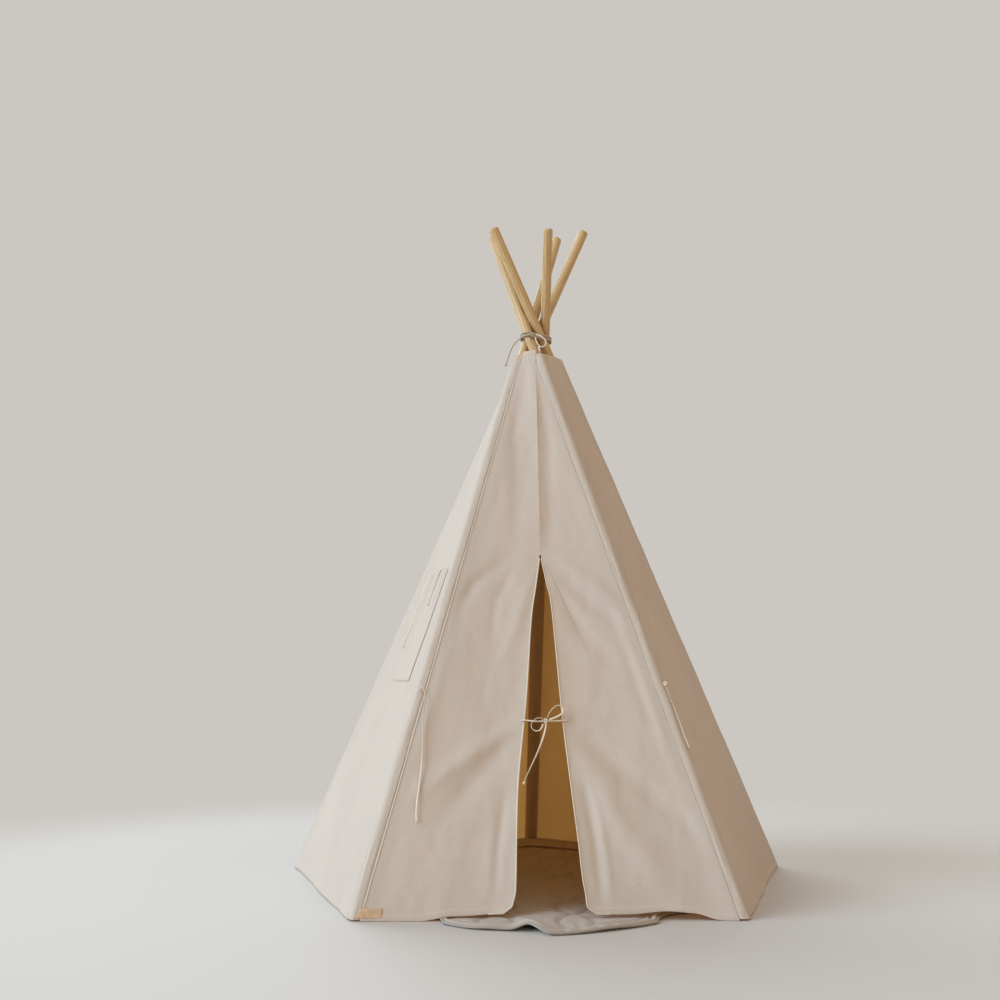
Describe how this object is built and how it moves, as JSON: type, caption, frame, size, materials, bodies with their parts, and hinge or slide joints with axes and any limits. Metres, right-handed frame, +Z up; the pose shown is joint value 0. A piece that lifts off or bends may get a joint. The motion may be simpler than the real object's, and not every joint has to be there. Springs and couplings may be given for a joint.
{
  "type": "teepee tent",
  "caption": "Indoor play teepee: wooden poles lashed at the top, canvas cover with a slit door and a side window, and a quilted floor mat",
  "frame": {"origin": "On the floor under the crown, on the flat underside of the floor mat.", "axes": "+Z up along the tent's height, the door slit faces -Y, +X to the right when looking in through the door."},
  "size_m": [1.269, 1.3948, 1.6452],
  "materials": {
    "pine": "turned pale softwood pole, oiled satin, with long grain, small knots and rounded worn ends",
    "canvas": "undyed plain-weave cotton canvas, warm beige, softly creased, light shows through it warm",
    "binding": "cream cotton bias binding, topstitched",
    "tape": "narrow soft cotton tie tape",
    "twine": "three-strand grey-beige cotton twine, slightly hairy",
    "leather": "thin tan vegetable leather, plain, stitched round the edge",
    "quilt": "soft grey cotton, quilted in leaf curves, with corded piping and a pale underside"
  },
  "bodies": {
    "mat": {"floor_mat": "quilt", "mat_piping": "quilt"},
    "crown": {"lashing_turns": "twine", "lashing_knot": "twine", "lashing_tail": "twine", "lashing_bow": "twine"},
    "pole_front_left": {"pole_front_left": "pine", "sleeve_front_left": "canvas"},
    "pole_front_right": {"pole_front_right": "pine", "sleeve_front_right": "canvas"},
    "pole_side_right": {"pole_side_right": "pine", "sleeve_side_right": "canvas"},
    "pole_back": {"pole_back": "pine", "sleeve_back": "canvas"},
    "pole_side_left": {"pole_side_left": "pine", "sleeve_side_left": "canvas"},
    "cover_left": {"panel_left": "canvas"},
    "cover_front": {"panel_front_left": "canvas", "panel_front_right": "canvas", "label": "leather", "tieback_left": "tape"},
    "cover_right": {"panel_right": "canvas", "tieback_right": "tape", "tieback_stop": "tape"},
    "cover_back_right": {"panel_back_right": "canvas"},
    "cover_back_left": {"panel_back_left": "canvas"},
    "door_left": {"door_flap_left": "canvas", "door_binding_left": "binding", "door_tie_left": "tape", "door_tie_knot": "tape", "door_tie_loop": "tape", "door_tie_short_loop": "tape", "door_tie_tail": "tape"},
    "door_right": {"door_flap_right": "canvas", "door_binding_right": "binding", "door_tie_right": "tape"},
    "window_flap": {"window_flap": "canvas", "window_tie_front": "tape", "window_tie_rear": "tape"}
  },
  "joints": [
    {"name": "gather", "type": "slide", "parent": "mat", "child": "crown", "axis": [0, 0, -1], "range_m": [-0.32, 0], "deforming": ["panel_left", "panel_front_left", "panel_front_right", "panel_right", "panel_back_right", "panel_back_left", "door_flap_left", "door_flap_right", "window_flap", "door_binding_left", "door_binding_right", "label", "door_tie_left", "door_tie_right", "door_tie_loop", "door_tie_short_loop", "door_tie_tail", "tieback_left", "tieback_right", "window_tie_front", "window_tie_rear", "door_tie_knot", "tieback_stop", "lashing_turns", "lashing_knot", "lashing_tail", "lashing_bow"]},
    {"name": "pole_front_left_swing", "type": "hinge", "parent": "crown", "child": "pole_front_left", "pos_m": [-0.021, 0.005, 1.37], "axis": [0.7906, -0.6124, 0], "range_deg": [0, 12.3]},
    {"name": "pole_front_right_swing", "type": "hinge", "parent": "crown", "child": "pole_front_right", "pos_m": [-0.033, -0.022, 1.37], "axis": [0.7297, 0.6838, 0], "range_deg": [0, 12.81]},
    {"name": "pole_side_right_swing", "type": "hinge", "parent": "crown", "child": "pole_side_right", "pos_m": [-0.004, -0.014, 1.37], "axis": [-0.3927, 0.9197, 0], "range_deg": [0, 14.1]},
    {"name": "pole_back_swing", "type": "hinge", "parent": "crown", "child": "pole_back", "pos_m": [0.017, 0.004, 1.37], "axis": [-0.9997, -0.024, 0], "range_deg": [0, 15.39]},
    {"name": "pole_side_left_swing", "type": "hinge", "parent": "crown", "child": "pole_side_left", "pos_m": [0.002, 0.027, 1.37], "axis": [-0.34, -0.9404, 0], "range_deg": [0, 13.53]},
    {"name": "cover_left_swing", "type": "hinge", "parent": "crown", "child": "cover_left", "pos_m": [-0.0095, 0.016, 1.37], "axis": [0.2794, -0.9602, 0], "range_deg": [0, 10.79]},
    {"name": "cover_front_swing", "type": "hinge", "parent": "crown", "child": "cover_front", "pos_m": [-0.027, -0.0085, 1.37], "axis": [1, 0, 0], "range_deg": [0, 9.91]},
    {"name": "cover_right_swing", "type": "hinge", "parent": "crown", "child": "cover_right", "pos_m": [-0.0185, -0.018, 1.37], "axis": [0.2794, 0.9602, 0], "range_deg": [0, 11.33]},
    {"name": "cover_back_right_swing", "type": "hinge", "parent": "crown", "child": "cover_back_right", "pos_m": [0.0065, -0.005, 1.37], "axis": [-0.7975, 0.6033, 0], "range_deg": [0, 12.58]},
    {"name": "cover_back_left_swing", "type": "hinge", "parent": "crown", "child": "cover_back_left", "pos_m": [0.0095, 0.0155, 1.37], "axis": [-0.7975, -0.6033, 0], "range_deg": [0, 12.34]},
    {"name": "door_left_swing", "type": "hinge", "parent": "cover_front", "child": "door_left", "pos_m": [-0.34199, -0.50191, 0.003], "axis": [-0.3764, -0.2985, -0.8771], "range_deg": [0, 140]},
    {"name": "door_right_swing", "type": "hinge", "parent": "cover_front", "child": "door_right", "pos_m": [0.34185, -0.50196, 0.003], "axis": [-0.3893, 0.2968, 0.872], "range_deg": [0, 140]},
    {"name": "window_flap_swing", "type": "hinge", "parent": "cover_left", "child": "window_flap", "pos_m": [-0.24862, -0.08305, 0.752], "axis": [-0.2259, 0.9742, 0], "range_deg": [0, 140]}
  ],
  "couplings": [
    {"joint": "pole_front_left_swing", "follows": "gather", "rad_per_m": -0.66839},
    {"joint": "pole_front_right_swing", "follows": "gather", "rad_per_m": -0.69578},
    {"joint": "pole_side_right_swing", "follows": "gather", "rad_per_m": -0.76653},
    {"joint": "pole_back_swing", "follows": "gather", "rad_per_m": -0.83646},
    {"joint": "pole_side_left_swing", "follows": "gather", "rad_per_m": -0.73528},
    {"joint": "cover_left_swing", "follows": "gather", "rad_per_m": -0.58605},
    {"joint": "cover_front_swing", "follows": "gather", "rad_per_m": -0.53768},
    {"joint": "cover_right_swing", "follows": "gather", "rad_per_m": -0.61524},
    {"joint": "cover_back_right_swing", "follows": "gather", "rad_per_m": -0.68336},
    {"joint": "cover_back_left_swing", "follows": "gather", "rad_per_m": -0.67043}
  ]
}
